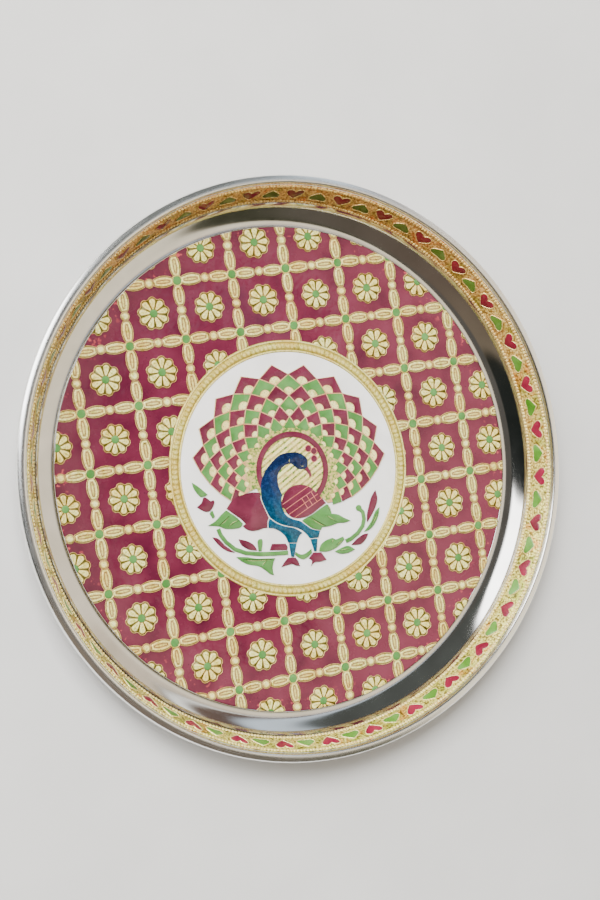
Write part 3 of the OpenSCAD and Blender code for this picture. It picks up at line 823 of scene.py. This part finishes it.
def strip_gold():
    """Granulated gilt of the wall strip, amber and darker at the far side and pale at the near one,
    which is painted shade; each grain is pale in its middle and dark at its edge, a painted
    highlight and painted shade on the granulation.
    """
    skin = Finish("Amber_gilt", {"Metallic": 0.4, "IOR": 1.6})
    grains = skin.cells(1.05, "SMOOTH_F1")
    far = skin.maths("ADD", skin.axis("Y"), skin.patches(16.0, 3.0, 0.3, 0.7, -0.05, 0.05))
    # Pale grain middles and dark gaps between the grains: painted highlight and painted shade on
    # the granulation.
    pale = skin.ramp(grains, [
        (0.14, tone(238, 234, 136)), (0.4, tone(214, 200, 98)), (0.62, tone(118, 106, 36)),
    ])
    amber = skin.ramp(grains, [
        (0.12, tone(244, 206, 132)), (0.36, tone(220, 170, 98)), (0.6, tone(158, 112, 54)),
    ])
    # Painted shade: amber and darker towards the far side of the wall, pale at the near side.
    base = skin.blend(skin.span(far, -0.02, 0.11), pale, amber)
    base = skin.tinted(skin.patches(11.0, 2.0, 0.5, 0.64, 0.0, 0.8), base, tone(180, 200, 120))
    base = skin.tinted(skin.patches(8.0, 2.0, 0.42, 0.34, 0.0, 0.8), base, tone(255, 190, 170))
    skin.set("Base Color", base)
    skin.set("Roughness", skin.patches(2.0, 2.0, 0.3, 0.7, 0.24, 0.42))
    return skin.set("Normal", skin.bump(grains, 0.9, -0.4))


STEEL = polished_steel()
FILM = bond_film()
# Gilt colours from groove to crest: dirt with painted shade, a flank with a painted reflection, the
# body, and a worn crest with a painted highlight.
CREAM_GILT = gilt(
    "Cream_gilt", (92, 92, 24), (206, 172, 112), (224, 218, 110), (255, 250, 172), 1.9, 2.5,
)
SHEET_GILT = gilt(
    "Gilt_sheet", (150, 140, 60), (190, 180, 84), (206, 162, 112), (224, 178, 136),
    1.7, 2.7, side=halo_greens,
)
VEIN_GILT = gilt(
    "Vein_gilt", (104, 150, 70), (130, 170, 90), (158, 190, 112), (180, 204, 132), 2.3, 2.7,
)
RING_GILT = gilt(
    "Gold_line", (164, 152, 68), (190, 174, 84), (206, 192, 96), (236, 226, 150), 1.9, 2.5,
)
ROSE_GILT = gilt(
    "Rose_gilt", (170, 84, 84), (186, 96, 94), (204, 112, 106), (216, 130, 120), 1.9, 2.65,
)
# The strip's gilts carry painted shade on the far side of the wall, and the ground also painted
# highlight and shade on its grains.
EDGE_GILT = strip_wire()
STRIP_GILT = strip_gold()
# The crimson field carries painted shade, painted sheen and painted glints.
CRIMSON_FIELD = enamel(
    "Crimson_field", (76, 14, 38), (97, 30, 50), (108, 41, 61), 17.0,
    speck=0.12, wave=0.5, side=crimson_field_painted_light,
)
CRIMSON = enamel("Crimson_enamel", (82, 27, 43), (97, 35, 53), (107, 43, 61), 9.0, speck=0.08)
# The hearts and leaves are darker on the far side of the wall, a painted shade.
RUBY = enamel("Ruby_enamel", (92, 10, 34), (122, 20, 50), (142, 34, 62), 14.0, side=far_wall_painted_shade)
GREEN = enamel("Green_enamel", (62, 112, 48), (76, 126, 62), (92, 140, 74), 7.0)
LEAF = enamel("Leaf_enamel", (54, 102, 22), (78, 126, 42), (98, 144, 72), 12.0, side=far_wall_painted_shade)
WHITE = enamel("White_enamel", (224, 221, 216), (236, 234, 230), (242, 240, 238), 26.0, wave=0.3)
BLUE = peacock_blue()


# Pieces

def hand_over(piece, slot, *nodes):
    """Fixes a finished piece to the plate, in place of its nodes."""
    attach(piece, BODY)
    if nodes:
        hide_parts(*nodes)
    return piece


def paint(mesh, material):
    mesh.materials.clear()
    mesh.materials.append(material)


def keep_node(node, material):
    """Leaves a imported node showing, with its finish."""
    paint(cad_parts[node].data, material)


def steel_dish():
    """The pressed dish with its rolled rim, as one closed section."""
    cove = (FLAT_R, SHEET + COVE_R)
    rim = (RIM_R, RIM_Z)
    wall = Vector((WALL_C, WALL_S)) * 0.4
    back = Vector((WALL_S, -WALL_C)) * SHEET
    section = [(0, SHEET), (FLAT_R - 6, SHEET), (FLAT_R - 0.6, SHEET)]
    section += arc(cove, COVE_R, -90, WALL_ANGLE, 14)
    section += [tuple(Vector(COVE_END) + wall), tuple(Vector(WALL_TOP) - wall)]
    section += [(RIM_R + across, PLATE_H - down) for across, down in RIM_CROWN]
    section += arc(rim, BEAD_R, CROWN_END, WALL_ANGLE + 90 - CURL_TURN - CROWN_END, 22)
    section += arc(rim, BEAD_R - SHEET, WALL_ANGLE + 90 - CURL_TURN, CURL_TURN, 18)
    section += [tuple(Vector(WALL_TOP) - wall + back), tuple(Vector(COVE_END) + wall + back)]
    section += arc(cove, COVE_R + SHEET, WALL_ANGLE - 90, -WALL_ANGLE, 12)
    section += [(FLAT_R - 0.6, 0), (FLAT_R - 6, 0), (0, 0)]
    piece = spun("dish", section, STEEL, closed=False, steps=ROUND_STEPS)
    hand_over(piece, "polished_steel", "steel_dish")


def crimson_field():
    """One poured sheet of enamel between the ring and the field's edge."""
    inner = RING_R - 0.4
    section = [(inner, ENAMEL_Z), (FIELD_R, ENAMEL_Z), (FIELD_R, ENAMEL_TOP + 0.05)]
    section += [(FIELD_R - 0.5, ENAMEL_TOP), (inner + 0.5, ENAMEL_TOP), (inner, ENAMEL_TOP + 0.1)]
    piece = spun("crimson_field", section, CRIMSON_FIELD)
    hand_over(piece, "crimson_enamel", "crimson_panels")


def edge_ring():
    """The thin bright edge of the steel round the disc."""
    middle = (FIELD_R + DISC_R) / 2
    section = [(FIELD_R, ENAMEL_Z), (DISC_R, ENAMEL_Z), (DISC_R, 1.75), (DISC_R - 0.15, 1.95)]
    section += [(middle, 2.0), (FIELD_R, 1.95)]
    piece = spun("disc_edge", section, STEEL)
    hand_over(piece, "polished_steel", "floor_edge_ring")


def barrel_master():
    """A barrel bead: a bulged outline, a groove inside it and a hollowed back."""
    sag = (BARREL_W - BARREL_END) / 2
    bulge = (BARREL_L ** 2 / 4 + sag ** 2) / (2 * sag)
    shift = BARREL_W / 2 - bulge
    along = (5.1, 3.4, 1.2, -1.2, -3.4, -5.1)
    half = [(x, shift + math.sqrt(bulge ** 2 - x ** 2)) for x in along]
    outline = [(x * 1.07, y * 1.02) for x, y in half + [(-x, -y) for x, y in half]]
    levels = [
        (1, 1, ENAMEL_Z), (1, 0.99, 2.16), (0.975, 0.93, 2.35), (0.945, 0.85, 2.08),
        (0.915, 0.78, 2.08), (0.87, 0.68, 2.44), (0.76, 0.44, 2.46), (0.66, 0.25, 2.08),
        (0.5, 0.08, 2.42),
    ]
    return domed("barrel", outline, levels)


def round_dome(name, radius, steps, levels):
    """A round button from its share of the radius at each height."""
    full = [(1, ENAMEL_Z)] + levels
    return domed(name, circle(radius, steps), [(share, share, z) for share, z in full])


def barrel_beads():
    """Two long beads on each side of every lattice square."""
    places = [(s * BARREL_AT, PITCH / 2, 0) for s in (-1, 1)]
    places += [(PITCH / 2, s * BARREL_AT, 90) for s in (-1, 1)]
    wander = (1.2, 0.12, 0.03)
    piece = on_lattice("barrel_bead_rows", barrel_master(), places, 5.2, CREAM_GILT, wander, 11)
    hand_over(piece, "cream_gilt", "barrel_beads")


def round_beads():
    """Round beads, each with a thin collar, a groove and a dome."""
    places = [(0, PITCH / 2, 0), (PITCH / 2, 0, 90)]
    levels = [
        (1, 2.1), (0.93, 2.34), (0.8, 2.08), (0.7, 2.36), (0.45, RELIEF_TOP - 0.04),
        (0.18, RELIEF_TOP),
    ]
    master = round_dome("bead", ROUND_D / 2 + 0.35, 12, levels)
    piece = on_lattice("round_bead_rows", master, places, 2.2, CREAM_GILT, (8, 0.15, 0.04), 12)
    hand_over(piece, "cream_gilt", "round_beads")


def crossing_studs():
    """Green domes, each in a gilt collar."""
    places = [(PITCH / 2, PITCH / 2, 0)]
    collar = wire_loop("collar", circle(STUD_D / 2 + 0.2, 14), 0.8, ENAMEL_TOP - 0.05, 2.45)
    dome = round_dome("stud", STUD_D / 2, 14, [(1, 2.2), (0.85, 2.34), (0.4, 2.42)])
    wander = (0, 0.1, 0.03)
    piece = on_lattice("stud_collars", collar, places, 2.4, CREAM_GILT, wander, 13)
    hand_over(piece, "cream_gilt", "crossing_studs")
    piece = on_lattice("stud_domes", dome, places, 2.4, GREEN, wander, 13)
    hand_over(piece, "green_enamel", "crossing_studs")


def petal_sizes():
    """Distance and radius of the circles that round off the petals."""
    swing = math.sin(math.pi / PETALS) / 0.93
    radius = ROSETTE_R * swing / (1 + swing)
    return ROSETTE_R - radius, radius


def petal_mesh():
    """One plump petal lying along +x, narrow at the rosette's centre."""
    away, radius = petal_sizes()
    tip = arc((away - 0.4, 0), radius - 0.42, -72, 144, 8)
    neck = CENTRE_R - 0.3
    outline = [(neck, -0.5), (4.1, -1.22)] + tip + [(4.1, 1.22), (neck, 0.5)]
    middle = 5.2
    outline = [(x - middle, y) for x, y in outline]
    levels = [
        (1, 1, ENAMEL_Z), (1, 1, 2.12), (0.93, 0.86, 2.36), (0.78, 0.6, 2.48), (0.35, 0.2, 2.42),
    ]
    return domed("petal", outline, levels, Matrix.Translation((middle, 0, 0)))


def scallops(inset):
    """Outline of the rosette's lobes."""
    steps = 5
    away, radius = petal_sizes()
    half_lobe = math.pi / PETALS
    found = []
    for k in range(PETALS * steps):
        angle = 2 * half_lobe * k / steps
        off = (angle + half_lobe) % (2 * half_lobe) - half_lobe
        reach = away * math.cos(off) + math.sqrt(radius ** 2 - (away * math.sin(off)) ** 2) - inset
        found.append((reach * math.cos(angle), reach * math.sin(angle)))
    return found


def rosette_master():
    """Nine petals on a scalloped bed with a thin wire round it."""
    petal = petal_mesh()
    parts = []
    for k in range(PETALS):
        turned = petal.copy()
        turned.transform(Matrix.Rotation(2 * math.pi * k / PETALS, 4, "Z"))
        parts.append(turned)
    edge = scallops(0.15)
    bed = [(1, 1, ENAMEL_Z), (1, 1, FLOOR_Z), (0.3, 0.3, FLOOR_Z + 0.03)]
    parts.append(domed("bed", edge, bed))
    parts.append(wire_loop("scallop_wire", edge, 0.55, ENAMEL_TOP - 0.05, 2.36))
    return joined("rosette", parts)


def rosettes():
    """A flower in the middle of every square, with its green centre."""
    wander = (20, 0.25, 0.05)
    piece = on_lattice("rosette_petals", rosette_master(), [(0, 0, 0)], 8.4, CREAM_GILT, wander, 21)
    hand_over(piece, "cream_gilt", "rosettes")
    levels = [(1, 2.3), (0.85, 2.42), (0.45, 2.5)]
    dome = round_dome("rosette_centre", CENTRE_R - 0.1, 14, levels)
    piece = on_lattice("rosette_green_centres", dome, [(0, 0, 0)], 2.2, GREEN, wander, 21)
    hand_over(piece, "green_enamel", "rosette_centres")


def ring_line(side, inner):
    """One plain half-round line along the medallion's ring."""
    half = RING_LINE / 2
    rise = RELIEF_TOP - LINE_FOOT
    crown = arc((0, 0), 1.0, 180, -180, 8)
    section = [(inner, ENAMEL_Z)]
    section += [(inner + half + half * x, LINE_FOOT + rise * y) for x, y in crown]
    section += [(inner + RING_LINE, ENAMEL_Z)]
    piece = spun(f"ring_{side}", section, RING_GILT)
    hand_over(piece, "gold_line", f"ring_{side}_line")


def medallion_ring():
    """Two plain lines with a row of oval beads on a sunk bed between them."""
    ring_line("outer", RING_R - RING_LINE)
    ring_line("inner", RING_R - RING_W)
    low, high = RING_R - RING_W + RING_LINE / 2, RING_R - RING_LINE / 2
    bed = [(low, ENAMEL_Z), (high, ENAMEL_Z), (high, RING_BED_Z), (low, RING_BED_Z)]
    piece = spun("ring_bed", bed, RING_GILT)
    hand_over(piece, "gold_line", "ring_bead_row")
    at = Matrix.Translation((RING_R - RING_W / 2, 0, 0)) @ Matrix.Rotation(math.radians(24), 4, "Z")
    oval = [(x * 1.2, y) for x, y in circle(1.5, 12)]
    levels = [(1, 1, ENAMEL_Z), (1, 1, 2.14), (0.86, 0.86, 2.34), (0.45, 0.45, 2.45)]
    bead = domed("ring_bead", oval, levels, at)
    piece = round_axis("ring_beads", bead, RING_BEADS, RING_GILT, wander=0.12)
    hand_over(piece, "gold_line", "ring_bead_row")


def inner_walls(shape):
    """Upright faces that stand between two joined parts of one flat node."""
    def shared(edge):
        level = abs(edge.verts[0].co.z - edge.verts[1].co.z) < 1e-6
        return level and len(edge.link_faces) > 2
    shape.normal_update()
    return [f for f in shape.faces if abs(f.normal.z) < 0.5 and any(shared(e) for e in f.edges)]


def copy_of(node, name, low=None, high=None):
    """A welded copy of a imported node, with its lowest and highest levels moved."""
    shape = bmesh.new()
    shape.from_mesh(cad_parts[node].data)
    bmesh.ops.remove_doubles(shape, verts=shape.verts, dist=2e-6)
    bmesh.ops.delete(shape, geom=inner_walls(shape), context="FACES")
    bottom = min(v.co.z for v in shape.verts)
    top = max(v.co.z for v in shape.verts)
    for vertex in shape.verts:
        if low is not None and vertex.co.z < bottom + 1e-6:
            vertex.co.z = low * MM
        if high is not None and vertex.co.z > top - 1e-6:
            vertex.co.z = high * MM
    flat = math.radians(0.5)
    bmesh.ops.dissolve_limit(shape, angle_limit=flat, verts=shape.verts, edges=shape.edges)
    return object_of(name, mesh_of(name, shape))


def bevelled(piece, width):
    """Rounds the crisp edges of a flat piece."""
    modifier = piece.modifiers.new("Soft edge", "BEVEL")
    modifier.width = width * MM
    modifier.segments = 2
    modifier.limit_method = "ANGLE"
    modifier.angle_limit = math.radians(50)
    modifier.harden_normals = True
    piece.data.shade_smooth()
    return settle(piece)


def softened(node, material, slot, width):
    """A packed enamel piece with softly rounded edges."""
    piece = bevelled(copy_of(node, node + "_enamel"), width)
    paint(piece.data, material)
    hand_over(piece, slot, node)


def halo_floor():
    """A cutter that keeps the ground inside the halo low."""
    centre = Matrix.Translation((*HALO, 0))
    levels = (LOW_GROUND_Z, ABOVE_ALL)
    lines = [[(x, y, z) for x, y in circle(HALO_R - HALO_W, 96)] for z in levels]
    return object_of("halo_floor", stacked("halo_floor", lines, centre))


def bird_lines():
    """Raised gilt lines between the enamels of the bird."""
    piece = copy_of("bird_gilt_plate", "bird_gilt_lines", high=LINE_TOP)
    nodes = (
        "tail_crimson_scales", "tail_green_scales", "tail_half_moons", "halo_ring", "neck",
        "right_wing", "left_wing",
    )
    cutters = [copy_of(node, node + "_cutter", LOW_GROUND_Z, ABOVE_ALL) for node in nodes]
    cutters.append(halo_floor())
    for cutter in cutters:
        boolean(piece, cutter, "DIFFERENCE")
        drop(cutter)
    paint(piece.data, SHEET_GILT)
    hand_over(piece, "gilt_sheet", "bird_gilt_plate")


def stroke(name, route, width, low, high):
    """A raised line along a short route, pointed at both ends."""
    last = len(route) - 1
    there = [(k, 1) for k in range(last + 1)]
    back = [(k, -1) for k in range(last - 1, 0, -1)]
    outline = []
    for k, side in there + back:
        before, after = Vector(route[max(k - 1, 0)]), Vector(route[min(k + 1, last)])
        along = (after - before).normalized()
        reach = side * width / 2 if 0 < k < last else 0
        x, y = route[k][0] - along.y * reach, route[k][1] + along.x * reach
        outline.append((x, y, 1) if k in (0, last) else (x, y))
    edge = curved(outline, 4)
    crown = grown(edge, width * 0.25)
    rings = ((edge, low), (edge, high - 0.04), (crown, high))
    return stacked(name, [[(x, y, z) for x, y in ring] for ring, z in rings])


def bird_wires(name, wires, material, slot, node):
    """Several raised wires that belong to one node."""
    piece = object_of(name, joined(name, wires))
    paint(piece.data, material)
    hand_over(piece, slot, node)


def strokes(name, routes, width, material, slot, node):
    wires = [stroke(name + "_line", route, width, STROKE_FOOT, LINE_TOP) for route in routes]
    bird_wires(name, wires, material, slot, node)


def crest_rings():
    """Fine gilt rings round the lobes of the crest."""
    rings = []
    for x, y in CREST_LOBES:
        at = Matrix.Translation((x, y, 0))
        rings.append(wire_loop("crest_ring", circle(CREST_R, 20), 0.4, STROKE_FOOT, LINE_TOP, at))
    bird_wires("crest_rings", rings, ROSE_GILT, "gold_line", "crest")


def medallion():
    """The peacock, its tail and its branches on the white ground."""
    keep_node("medallion_ground", WHITE)
    bird_lines()
    crest_rings()
    strokes("feather_veins", FEATHER_VEINS, 0.5, VEIN_GILT, "green_enamel", "under_feathers")
    strokes("leaf_veins", LEAF_VEINS, 0.5, VEIN_GILT, "green_enamel", "green_leaves")
    strokes("neck_ticks", NECK_TICKS, 0.4, RING_GILT, "gold_line", "neck")
    for material, slot, width, nodes in (
        (CRIMSON, "crimson_enamel", 0.14, (
            "tail_crimson_scales", "halo_ring", "beak", "crest", "right_wing", "left_wing",
            "feet", "flower_bud", "crimson_leaves",
        )),
        (GREEN, "green_enamel", 0.14, (
            "tail_green_scales", "under_feathers", "green_stems", "green_leaves",
        )),
        (BLUE, "blue_enamel", 0.14, ("neck", "shanks")),
        (BLUE, "teal_enamel", 0.14, ("left_thigh",)),
        (CREAM_GILT, "cream_gilt", 0.2, ("tail_half_moons", "halo_ribs")),
        (BLUE, "blue_enamel", 0.06, ("eye",)),
        (ROSE_GILT, "gold_line", 0.05, ("right_wing_wires",)),
    ):
        for node in nodes:
            softened(node, material, slot, width)
    keep_node("halo_bead_row", RING_GILT)


def strip_point(up, lift):
    """Radius and height of a point so far up the wall's slope and off its face."""
    return (COVE_END[0] + WALL_C * up - WALL_S * lift, COVE_END[1] + WALL_S * up + WALL_C * lift)


def on_wall(up, lift):
    """Place and tilt of a flat piece that lies on the wall at azimuth 0."""
    r, z = strip_point(up, lift)
    return Matrix((
        (0, WALL_C, -WALL_S, r), (-1, 0, 0, 0), (0, WALL_S, WALL_C, z), (0, 0, 0, 1),
    ))


def wall_strip():
    """The gilt strip, its two bead rows, and its hearts and leaves."""
    section = [strip_point(*p) for p in (
        (STRIP_LOW, STRIP_FILM), (STRIP_LOW, STRIP_EDGE), (STRIP_LOW + 0.2, STRIP_LIFT),
        (STRIP_HIGH - 0.2, STRIP_LIFT), (STRIP_HIGH, STRIP_EDGE), (STRIP_HIGH, STRIP_FILM),
    )]
    piece = spun("strip_ground", section, STRIP_GILT, steps=ROUND_STEPS)
    hand_over(piece, "amber_gilt", "wall_gilt_strip")
    film = [strip_point(*p) for p in (
        (STRIP_LOW, 0), (STRIP_HIGH, 0), (STRIP_HIGH, STRIP_FILM), (STRIP_LOW, STRIP_FILM),
    )]
    piece = spun("strip_film", film, FILM, steps=ROUND_STEPS)
    hand_over(piece, "bond_film", "wall_bond_film")
    bead_row("upper", STRIP_HIGH - 1.2, UPPER_BEADS)
    bead_row("lower", STRIP_LOW + 1.2, LOWER_BEADS)
    leaf_turn = HEART_TURN + 180 / HEARTS
    strip_motifs("hearts", HEART_HALF, HEART_UP, HEART_TURN, RUBY, "ruby_enamel")
    strip_motifs("leaves", SPADE_HALF, SPADE_UP, leaf_turn, LEAF, "leaf_enamel")


def bead_row(name, up, count):
    """A row of small oval beads along one edge of the strip."""
    levels = [(1, 1, 0), (1, 1, 0.2), (0.82, 0.82, 0.48), (0.4, 0.4, 0.6)]
    oval = [(x, y * 1.15) for x, y in circle(0.92, 8)]
    bead = domed(name + "_bead", oval, levels, on_wall(up, STRIP_LIFT))
    row = f"strip_{name}_bead_row"
    piece = round_axis(row, bead, count, EDGE_GILT, wander=0.05, seed=len(name))
    hand_over(piece, "gold_line", f"strip_{name}_beads")


def strip_motifs(name, half, up, turn, material, slot):
    """A row of enamelled shapes, each in a gilt wire."""
    node = "strip_" + name
    edge = curved(with_mirror(half), 2)
    at = on_wall(up, STRIP_LIFT)
    levels = [(1, 1, -0.1), (1, 1, 0.2), (0.9, 0.9, 0.34), (0.6, 0.6, 0.42), (0.2, 0.2, 0.44)]
    shape = domed(name + "_one", edge, levels, at)
    wire = wire_loop(name + "_wire_one", edge, 0.6, -0.1, 0.5, at)
    piece = round_axis(node + "_enamel", shape, HEARTS, material, turn, wander=0.25, seed=5)
    hand_over(piece, slot, node)
    piece = round_axis(node + "_wires", wire, HEARTS, EDGE_GILT, turn, wander=0.25, seed=5)
    hand_over(piece, "gold_line", node)


# Camera and studio

def camera():
    """A camera that looks down on the plate, tipped over without any turn."""
    data = bpy.data.cameras.new("Camera")
    data.lens = CAMERA_LENS
    data.sensor_width = 36.0
    data.clip_end = 20.0
    eye = link(bpy.data.objects.new("Camera", data))
    tip = Vector((0, 0, -1)).rotation_difference(Vector(CAMERA_LOOKS))
    eye.matrix_world = Matrix.Translation(CAMERA_AT) @ tip.to_matrix().to_4x4()
    bpy.context.scene.camera = eye


def studio_floor():
    shape = bmesh.new()
    bmesh.ops.create_circle(shape, cap_ends=True, segments=96, radius=2.5)
    mesh = mesh_of("studio_floor", shape)
    skin = Finish("Studio_floor", {"Roughness": 0.8})
    stops = [(0.3, tone(204, 203, 200)), (0.7, tone(210, 209, 206))]
    skin.set("Base Color", skin.ramp(skin.noise(60.0, 3.0), stops))
    paint(mesh, skin.material)
    object_of("studio_floor", mesh)


def by_angle(world, value, stops):
    """Colours by azimuth in degrees, for a value in radians."""
    share = world.span(value, -math.pi, math.pi)
    return world.ramp(share, [((angle + 180) / 360, colour) for angle, colour in stops])


def surroundings():
    """A studio by direction: a window, pale curtains, brown walls and dark cloths."""
    studio_world = bpy.data.worlds.new("Studio")
    bpy.context.scene.world = studio_world
    studio_world.use_nodes = True
    world = Nodes(studio_world.node_tree)
    way = world.nodes.new("ShaderNodeSeparateXYZ")
    world.feed(way.inputs[0], world.nodes.new("ShaderNodeTexCoord").outputs["Generated"])
    x, y, z = way.outputs
    leaning = world.maths("MULTIPLY_ADD", z, -WALL_LEAN, x)
    walls = by_angle(world, world.maths("ARCTAN2", y, leaning), WALLS)
    window = by_angle(world, world.maths("ARCTAN2", y, x), WINDOW)
    below_top = world.maths("SUBTRACT", 1.0, world.span(z, 0.86, 0.945))
    seen = world.blend(world.span(z, 0.945, 0.975), walls, CEILING)
    seen = world.blend(world.maths("MULTIPLY", window, below_top), seen, grey(WINDOW_LIGHT))
    straight = world.nodes.new("ShaderNodeLightPath").outputs["Is Camera Ray"]
    seen = world.blend(straight, seen, BACKDROP)
    back = world.nodes["Background"]
    world.feed(back.inputs["Color"], seen)
    back.inputs["Strength"].default_value = 1.0


def soft_light(name, place, size, power):
    """A square lamp aimed at the plate, which the steel doesn't mirror."""
    data = bpy.data.lights.new(name, "AREA")
    data.shape = "SQUARE"
    data.size = size
    data.energy = power
    lamp = link(bpy.data.objects.new(name, data))
    lamp.visible_glossy = False
    lamp.location = place
    lamp.rotation_euler = (-Vector(place)).to_track_quat("-Z", "Y").to_euler()


def studio():
    camera()
    studio_floor()
    surroundings()
    soft_light("Key", (-0.7, 0.9, 1.6), 0.9, KEY_POWER)
    soft_light("Fill", (0.2, -0.9, 1.8), 1.2, FILL_POWER)


studio()
steel_dish()
keep_node("floor_bond_film", FILM)
keep_node("floor_gilt_sheet", SHEET_GILT)
edge_ring()
crimson_field()
barrel_beads()
round_beads()
crossing_studs()
rosettes()
medallion_ring()
medallion()
wall_strip()
